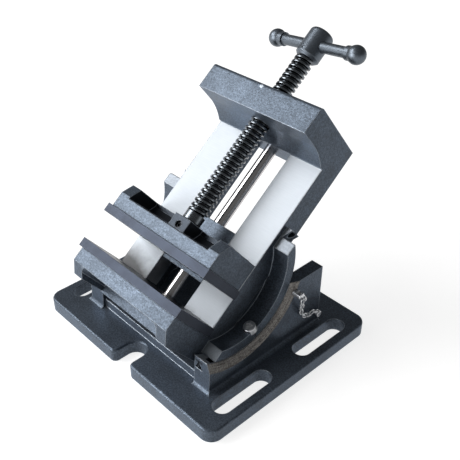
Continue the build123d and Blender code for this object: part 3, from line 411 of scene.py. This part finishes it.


# Vise body: cast and painted like the base. Its rails are ground on top and on their inner walls, its
# rims are bright at the ends, and an index line is scribed below the right lock screw. Painted shade
# darkens the rails near the fixed jaw, and the end block's top edge is chipped.
slide_joint = next(j for j in frame["joints"] if j["name"] == "jaw_slide")
screw_way = Vector(slide_joint["axis"])
rail_normal = sideways.cross(screw_way)
vise_ways = (sideways, screw_way, rail_normal)
rail_top = -0.0193
rail_bottom = -0.0330
rail_outer = 0.0489
rail_inner = 0.02075
rail_end = 0.0967
fixed_face = -0.0286
rim_outer = 0.0619
rim_end = -0.0236
index_start, index_half_angle = 0.0462, 0.0065
chip_x, chip_v, chip_w = -0.0020, 0.1195, 0.0200
chip_radius, chip_ragged, chip_waves = 0.0021, 0.0016, 700
# Painted shade on the rails near the fixed jaw: where it fades, its lean and its ragged edge.
rail_shade_start, rail_shade_end, rail_shade_lean = 0.003, 0.017, 0.22
rail_shade_ragged, rail_shade_waves = 0.016, 60
body_cut_waves = (90, 1300, 1300)


def body_marks(finish, x, v, w):
    """The body's rails and rim ends, its index line, chip and painted shade, with v up the screw and w off
    the rails.

    The painted shade fades up the rails from the fixed jaw, further on the left, with a ragged edge."""
    between = (v > fixed_face) * (v < rail_end + skin)
    rails = near(w, rail_top) * between * (abs(x) < rail_outer + skin)
    walls = near(abs(x), rail_inner) * (w < rail_top + skin) * (w > rail_bottom) * between
    ends = near(w, rim_end) * (abs(x) > rail_outer + skin)
    radius = finish.maths("SQRT", v * v + w * w)
    on_angle = near(finish.maths("ARCTAN2", v, -w), math.radians(lock_degrees), index_half_angle)
    index = on_angle * (radius > index_start) * (x > rim_outer - skin)
    from_chip = finish.node("ShaderNodeCombineXYZ", {}, x - chip_x, v - chip_v, w - chip_w)
    chip_far = finish.node("ShaderNodeVectorMath", {"operation": "LENGTH"}, from_chip, out="Value")
    chip = chip_far + chip_ragged * finish.noise(chip_waves, 2.0, 0.5) < chip_radius
    # Painted shade on the rails, darkest at the fixed jaw and fading up the screw.
    reach = v - fixed_face + rail_shade_lean * x + rail_shade_ragged * finish.noise(rail_shade_waves, 4.0)
    rail_shade = finish.spread(reach, rail_shade_start, rail_shade_end, 0.85, 0.0)
    return finish.either(rails, walls, 0.35 * ends), 0, index, chip, rail_shade * rails


wear("vise_body", painted_iron("body_iron", vise_ways, body_cut_waves, body_marks))


# Moving jaw: cast and painted like the base, and held down on the rails by the keeper. Its underside is
# ground, and painted shade darkens the pocket at its back.
jaw_top = 0.0207
jaw_gap = 0.0003
pocket_start = 0.0090
pocket_half = 0.0397
pocket_top_gap = 0.0012
pocket_foot_gap = 0.004
jaw_cut_waves = (2400, 70, 2400)


def jaw_marks(finish, x, v, w):
    """The moving jaw's underside, and painted shade in the pocket behind the jaw."""
    in_pocket = (v > pocket_start) * (abs(x) < pocket_half + skin)
    below_top = (w < jaw_top - pocket_top_gap) * (w > rail_top + pocket_foot_gap)
    # The last mask is painted shade in the pocket, below the jaw's top.
    return near(w, rail_top + jaw_gap), 0, 0, 0, 0.8 * in_pocket * below_top


wear("moving_jaw", painted_iron("jaw_iron", vise_ways, jaw_cut_waves, jaw_marks))


# Ledge of the fixed jaw: the foot of the pocket in its front, part of the same casting. It is flat on top,
# flush with the cheeks, and round fillets run up both inner corners of the pocket.
ledge_top = -0.0099
ledge_front = -0.0542
ledge_foot = -0.0235
ledge_round = 0.0008
ledge_top_back = -0.0470
ledge_foot_back = -0.0490
pocket_fillet = 0.0036
pocket_back = -0.0455
pocket_lean = 0.7 / 29
jaw_chamfer_start = -0.0449
tuck = 0.0004
round_points, fillet_points, rise_points = 7, 9, 14
weld = 2e-6
sharp_angle = 0.6


def in_vise(x, v, w):
    """World points of coordinates along the vise's own directions from the tilt axis."""
    return np.array(tilt_centre) + np.stack(np.broadcast_arrays(x, v, w), -1) @ np.array(vise_ways)


def ring_faces(rows, columns):
    """Quads of a grid whose columns close into rings."""
    row, column = np.meshgrid(np.arange(rows - 1), np.arange(columns), indexing="ij")
    low, high = row * columns, (row + 1) * columns
    after = (column + 1) % columns
    return np.stack([low + column, low + after, high + after, high + column], -1).reshape(-1, 4)


def loft(rings):
    """Closed surface through rings of points. Each end is a fan about its ring's first point."""
    ends = [np.repeat(ring[:1], len(ring), 0)[None] for ring in (rings[0], rings[-1])]
    rings = np.concatenate([ends[0], rings, ends[1]])
    return rings.reshape(-1, 3), ring_faces(*rings.shape[:2])


def mesh_of(name, pieces, material):
    """One mesh of several (points, faces) surfaces, with its doubles merged and its normals outward."""
    starts = np.cumsum([0] + [len(points) for points, _ in pieces])
    points = np.concatenate([points for points, _ in pieces])
    faces = np.concatenate([faces + start for (_, faces), start in zip(pieces, starts)])
    mesh = bpy.data.meshes.new(name)
    mesh.from_pydata(points.tolist(), [], faces.tolist())
    sheet = bmesh.new()
    sheet.from_mesh(mesh)
    bmesh.ops.remove_doubles(sheet, verts=sheet.verts, dist=weld)
    bmesh.ops.recalc_face_normals(sheet, faces=sheet.faces)
    sheet.to_mesh(mesh)
    sheet.free()
    mesh.shade_smooth()
    mesh.set_sharp_from_angle(angle=sharp_angle)
    mesh.materials.append(material)
    piece = bpy.data.objects.new(name, mesh)
    bpy.context.scene.collection.objects.link(piece)
    return piece


def ledge_bar():
    """Straight bar along X. Its section is flat on top and turns a quarter circle at each front corner."""
    turn = np.linspace(np.pi / 2, np.pi, round_points)
    top_v = ledge_front + ledge_round + ledge_round * np.cos(turn)
    top_w = ledge_top - ledge_round + ledge_round * np.sin(turn)
    foot_v = ledge_front + ledge_round + ledge_round * np.cos(turn + np.pi / 2)
    foot_w = ledge_foot + ledge_round + ledge_round * np.sin(turn + np.pi / 2)
    v = np.concatenate([[ledge_top_back], top_v, foot_v, [ledge_foot_back]])
    w = np.concatenate([[ledge_top], top_w, foot_w, [ledge_foot]])
    x = np.array([-1, 1]) * (pocket_half + tuck)
    return loft(in_vise(x[:, None], v[None, :], w[None, :]))


def pocket_corner(side):
    """Concave fillet: an arc between the pocket's back and a cheek, swept up to the jaw's chamfered top."""
    turn = np.linspace(0, np.pi / 2, fillet_points)
    reach = pocket_half - pocket_fillet
    buried = pocket_half + tuck
    x = np.concatenate([[buried, reach], reach + pocket_fillet * np.sin(turn), [buried]])
    v = np.concatenate([[tuck, tuck], pocket_fillet * (np.cos(turn) - 1), [-pocket_fillet]])
    rise = np.linspace(0, 1, rise_points)[:, None]
    foot = ledge_top - tuck
    top = jaw_top + np.minimum(0, pocket_back + v - jaw_chamfer_start)
    w = foot + (top[None, :] - foot) * rise
    v = pocket_back + v[None, :] - pocket_lean * (jaw_top - w)
    return loft(in_vise(side * x[None, :], v, w))


body_iron = frame["nodes"]["vise_body"].data.materials[0]
jaw_ledge = mesh_of("fixed_jaw_ledge", [ledge_bar(), pocket_corner(-1), pocket_corner(1)], body_iron)
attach(jaw_ledge, "vise")


# Tilt scale: degree numbers stamped and filled with black in the bevelled band of the right wall. The
# index line on the rim reads against them.
numeral_height = 0.0021
numeral_out = 0.0040
numeral_step = 10
cap_share = 0.7
stand_off_x, stand_off_radius = 0.00003, 0.000015
ink_dark = (0.008, 0.008, 0.009)
ink_light = (0.03, 0.03, 0.03)
ink_waves = 2500
numeral_ink = Finish("numeral_ink", metallic=0.0, specular_ior_level=0.3)
ink_mottle = numeral_ink.noise(ink_waves, 2.0, 0.5)
numeral_ink.feed(
    base_color=numeral_ink.mix(ink_mottle, ink_dark, ink_light),
    roughness=0.45 + 0.2 * ink_mottle,
)


def scale_numeral(reading):
    """A number laid on the band's cone: its width becomes an angle about the tilt axis, its height a radius.

    x and radius grow together up the cone, and the number stands a hair off it along its normal."""
    curve = bpy.data.curves.new("numeral", "FONT")
    curve.body = str(reading)
    curve.align_x = "CENTER"
    curve.align_y = "CENTER"
    curve.size = numeral_height / cap_share
    curve.resolution_u = 3
    holder = bpy.data.objects.new("numeral", curve)
    bpy.context.scene.collection.objects.link(holder)
    mesh = bpy.data.meshes.new_from_object(holder)
    bpy.data.objects.remove(holder)
    flat = np.empty(len(mesh.vertices) * 3)
    mesh.vertices.foreach_get("co", flat)
    across, upward, _ = flat.reshape(-1, 3).T
    middle = track_radius + numeral_out
    radius = middle - upward * math.sin(math.atan(bevel_slope))
    angle = math.radians(reading + lock_degrees) + across / middle
    x = bevel_start + (radius - track_radius) / bevel_slope + stand_off_x
    radius = radius - stand_off_radius
    placed = np.stack([x, tilt_centre.y + radius * np.sin(angle), tilt_centre.z - radius * np.cos(angle)], 1)
    mesh.vertices.foreach_set("co", placed.astype(np.float32).ravel())
    mesh.update()
    return mesh


numeral_sheet = bmesh.new()
for reading in range(0, scale_end + 1, numeral_step):
    numeral = scale_numeral(reading)
    numeral_sheet.from_mesh(numeral)
    bpy.data.meshes.remove(numeral)
numeral_mesh = bpy.data.meshes.new("scale_numerals")
numeral_sheet.to_mesh(numeral_mesh)
numeral_sheet.free()
numeral_mesh.materials.append(numeral_ink.material)
numerals = bpy.data.objects.new("scale_numerals", numeral_mesh)
bpy.context.scene.collection.objects.link(numerals)
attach(numerals, "base")


# Jaw plates and keeper: hardened steel, ground on their faces and chemically blackened to a dark slate,
# screwed to the castings.
slate_dark = (0.012, 0.015, 0.023)
slate_light = (0.032, 0.041, 0.060)
slate_rubbed = (0.42, 0.45, 0.50)
slate_waves, slate_cloud_waves = (90, 2800, 2800), 70
slate_edge_radius, slate_depth = 0.0004, 0.00005
plate_slate = Finish("plate_slate")
slate_lines = plate_slate.streaks(plate_slate.along(vise_ways, tilt_centre), slate_waves)
slate_cloud = plate_slate.spread(plate_slate.noise(slate_cloud_waves), 0.3, 0.7)
slate_soft, slate_edge = plate_slate.rounded(slate_edge_radius)
slate_rub = plate_slate.spread(slate_edge * (0.5 + slate_lines), 0.03, 0.22, 0.0, 0.7)
slate_oxide = plate_slate.mix(plate_slate.blend(0.5, slate_lines, slate_cloud), slate_dark, slate_light)
plate_slate.feed(
    base_color=plate_slate.mix(slate_rub, slate_oxide, slate_rubbed),
    metallic=0.75 + 0.25 * slate_rub,
    roughness=0.30 + 0.14 * slate_lines,
    normal=plate_slate.bump(0.5 * slate_lines, slate_depth, 0.6, slate_soft),
)
for node in ("fixed_jaw_plate", "moving_jaw_plate", "keeper_plate"):
    wear(node, plate_slate.material)


# Screws and pins: turned steel. Those that hold the plates, the keeper, the guide rod and the journal are
# blacked. The lock screws, clamp nuts, zero pin, ring, chain and its screw are zinc plated.
turned_edge_radius, turned_depth = 0.0003, 0.00003


def turned_steel(name, dark, light, rubbed, roughness, mottle_waves):
    """Mottled plating or oxide: fine noise over a broader cloud, rubbed brighter on the edges."""
    finish = Finish(name, metallic=1.0)
    mottle = finish.noise(mottle_waves)
    cloud = finish.noise(mottle_waves / 6, 2.0, 0.5)
    soft, edge = finish.rounded(turned_edge_radius)
    tone = finish.mix(finish.blend(0.4, finish.spread(mottle, 0.3, 0.7), cloud), dark, light)
    rub = finish.spread(edge * (0.5 + mottle), 0.04, 0.25, 0.0, 0.8)
    finish.feed(
        base_color=finish.mix(rub, tone, rubbed),
        roughness=roughness + 0.14 * mottle,
        normal=finish.bump(mottle, turned_depth, 0.5, soft),
    )
    return finish.material


blacked = turned_steel(
    "blacked_steel", (0.012, 0.013, 0.015), (0.05, 0.052, 0.058), (0.2, 0.2, 0.21),
    roughness=0.32, mottle_waves=900)
plated = turned_steel(
    "plated_steel", (0.55, 0.57, 0.60), (0.88, 0.89, 0.90), (0.9, 0.9, 0.9),
    roughness=0.30, mottle_waves=1400)
for node in (
    "fixed_plate_screws", "moving_plate_screws", "keeper_screws", "screw_retainer", "guide_rod_pin",
):
    wear(node, blacked)
for node in (
    "left_lock_screw", "right_lock_screw", "left_clamp_nut", "right_clamp_nut", "zero_pin", "pin_ring",
    "chain_anchor_screw",
):
    wear(node, plated)


# Chain of the zero pin: eleven oval links of bright wire. Its upper end hangs on the ring, and its lower
# end is held by a screw in the wall.
chain_weld = 1e-6
chain_sheet = bmesh.new()
chain_sheet.from_mesh(frame["nodes"]["pin_chain"].data)
bmesh.ops.remove_doubles(chain_sheet, verts=chain_sheet.verts, dist=chain_weld)
chain_mesh = bpy.data.meshes.new("link_chain")
chain_sheet.to_mesh(chain_mesh)
chain_sheet.free()
chain_mesh.shade_smooth()
chain_mesh.materials.clear()
chain_mesh.materials.append(plated)
chain = bpy.data.objects.new("link_chain", chain_mesh)
bpy.context.scene.collection.objects.link(chain)
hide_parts("pin_chain")
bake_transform(chain)


# Guide rod: a bar of hardened steel, centreless ground, polished and chromed. It runs from the fixed jaw
# to the end block and is held by a cross pin.
chrome_dark = (0.46, 0.44, 0.44)
chrome_light = (0.74, 0.73, 0.73)
rod_ring_waves, rod_ring_depth = (60, 2600, 60), 0.00002
rod_smear_waves = (700, 25, 700)
rod_chrome = Finish("rod_chrome", metallic=1.0)
rod_distances = rod_chrome.along(vise_ways, tilt_centre)
rod_rings = rod_chrome.streaks(rod_distances, rod_ring_waves)
rod_smear = rod_chrome.streaks(rod_distances, rod_smear_waves)
rod_chrome.feed(
    base_color=rod_chrome.mix(rod_chrome.blend(0.5, rod_rings, rod_smear), chrome_dark, chrome_light),
    roughness=0.10 + 0.12 * rod_smear,
    normal=rod_chrome.bump(rod_rings, rod_ring_depth, 0.4),
)
wear("guide_rod", rod_chrome.material)


# Lead screw: a single-start trapezoidal thread, rolled in steel bar, blacked and oiled. A plain collar
# and a grooved journal are turned at the jaw end, and the thread runs right up to the hub.
thread_pitch = 0.0037
crest_radius = 0.0071
root_radius = 0.00545
screw_axis_w = 0.0011
thread_start = 0.0268
hub_start = 0.1559
thread_sides = 72
crest_profile = np.array([
    (0.00, 0.00), (0.20, 0.00), (0.25, 0.05), (0.30, 0.30), (0.37, 0.78), (0.41, 0.95), (0.46, 1.00),
    (0.74, 1.00), (0.79, 0.95), (0.83, 0.78), (0.90, 0.30), (0.95, 0.05),
])
plain_profile = np.array([
    (0.0029, 0.0001), (0.0029, 0.0049), (0.0032, 0.0052), (0.0119, 0.0052), (0.0119, 0.0038),
    (0.0159, 0.0038), (0.0159, 0.0052), (0.0202, 0.0052), (0.0202, 0.0067), (0.0206, 0.0070),
    (0.0264, 0.0070), (0.0268, 0.0067), (0.0268, 0.0052), (0.1560, 0.0052), (0.1619, 0.0052),
    (0.1619, 0.0001),
])


def set_on_axis(v, radius, angle):
    """Points about the screw's axis: v along it, and a radius turned by an angle from the X direction."""
    v, radius, angle = np.broadcast_arrays(v, radius, angle)
    return in_vise(radius * np.cos(angle), v, screw_axis_w + radius * np.sin(angle))


def thread_surface():
    """Helicoid strip: each row is one point of the crest's profile carried round, rising a pitch each turn.

    The profile's points are shares of the pitch and of the thread's depth, repeated for each turn.
    Rows beyond the two ends are held at them, and faces that lie wholly in an end are left out."""
    turns = int((hub_start - thread_start) / thread_pitch) + 2
    turn = np.append(np.arange(turns)[:, None] + crest_profile[None, :, 0], turns)
    rise = thread_start + (turn - 1) * thread_pitch
    height = np.append(np.tile(crest_profile[:, 1], turns), 0.0)
    radius = root_radius + (crest_radius - root_radius) * height
    angle = np.arange(thread_sides + 1) * 2 * np.pi / thread_sides
    free = rise[:, None] - angle[None, :] / (2 * np.pi) * thread_pitch
    points = set_on_axis(np.clip(free, thread_start, hub_start), radius[:, None], angle[None, :])
    rows, columns = free.shape
    corner = (np.arange(rows - 1)[:, None] * columns + np.arange(columns - 1)[None, :]).ravel()
    faces = np.stack([corner, corner + 1, corner + columns + 1, corner + columns], 1)
    inside = (free > thread_start) & (free < hub_start)
    return points.reshape(-1, 3), faces[inside.ravel()[faces].any(1)]


def turned_surface(profile):
    """Surface of revolution of (v, radius) points about the screw's axis."""
    angle = np.arange(thread_sides) * 2 * np.pi / thread_sides
    points = set_on_axis(profile[:, :1], profile[:, 1:], angle[None, :])
    return points.reshape(-1, 3), ring_faces(len(profile), thread_sides)


oxide_dark = (0.014, 0.016, 0.019)
oxide_light = (0.060, 0.068, 0.077)
oxide_rubbed = (0.30, 0.33, 0.36)
oxide_waves, oxide_depth = 1300, 0.00003
oil_waves = 90
rub_start, rub_full, rub_ragged = 0.0068, 0.0074, 0.0004
screw_black = Finish("screw_black", metallic=1.0)
screw_x, _, screw_w = screw_black.along(vise_ways, tilt_centre + rail_normal * screw_axis_w)
screw_radius = screw_black.maths("SQRT", screw_x * screw_x + screw_w * screw_w)
screw_grain = screw_black.noise(oxide_waves)
screw_oil = screw_black.noise(oil_waves, 2.0, 0.5)
crest_rub = screw_black.spread(screw_radius + rub_ragged * screw_grain, rub_start, rub_full, 0.0, 0.6)
screw_oxide = screw_black.mix(screw_grain, oxide_dark, oxide_light)
screw_black.feed(
    base_color=screw_black.mix(crest_rub, screw_oxide, oxide_rubbed),
    roughness=0.14 + 0.14 * screw_grain + 0.10 * screw_oil,
    normal=screw_black.bump(screw_grain, oxide_depth, 0.5),
)
lead_screw = mesh_of(
    "threaded_screw", [thread_surface(), turned_surface(plain_profile)], screw_black.material)
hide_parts("lead_screw")
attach(lead_screw, "screw")


# Handle: a turned hub pinned on the screw, and a tommy bar that slides in its cross bore between two
# balls. All are satin gunmetal, rubbed brighter on their edges.
satin_dark = (0.07, 0.082, 0.100)
satin_light = (0.18, 0.208, 0.240)
satin_rubbed = (0.36, 0.39, 0.42)
satin_waves, satin_cloud_waves = 1500, 120
satin_edge_radius, satin_depth = 0.0005, 0.00007
handle_satin = Finish("handle_satin", metallic=0.9)
satin_grain = handle_satin.noise(satin_waves)
satin_cloud = handle_satin.noise(satin_cloud_waves)
satin_soft, satin_edge = handle_satin.rounded(satin_edge_radius)
satin_rub = handle_satin.spread(satin_edge * (0.5 + satin_grain), 0.03, 0.22, 0.0, 0.7)
satin_tone = handle_satin.blend(0.55, handle_satin.spread(satin_grain, 0.3, 0.7), satin_cloud)
satin_unrubbed = handle_satin.mix(satin_tone, satin_dark, satin_light)
handle_satin.feed(
    base_color=handle_satin.mix(satin_rub, satin_unrubbed, satin_rubbed),
    roughness=0.33 + 0.16 * satin_grain,
    normal=handle_satin.bump(0.7 * satin_grain + 0.3 * satin_cloud, satin_depth, 0.6, satin_soft),
)
for node in ("handle_hub", "hub_pin", "tommy_bar", "left_bar_ball", "right_bar_ball"):
    wear(node, handle_satin.material)
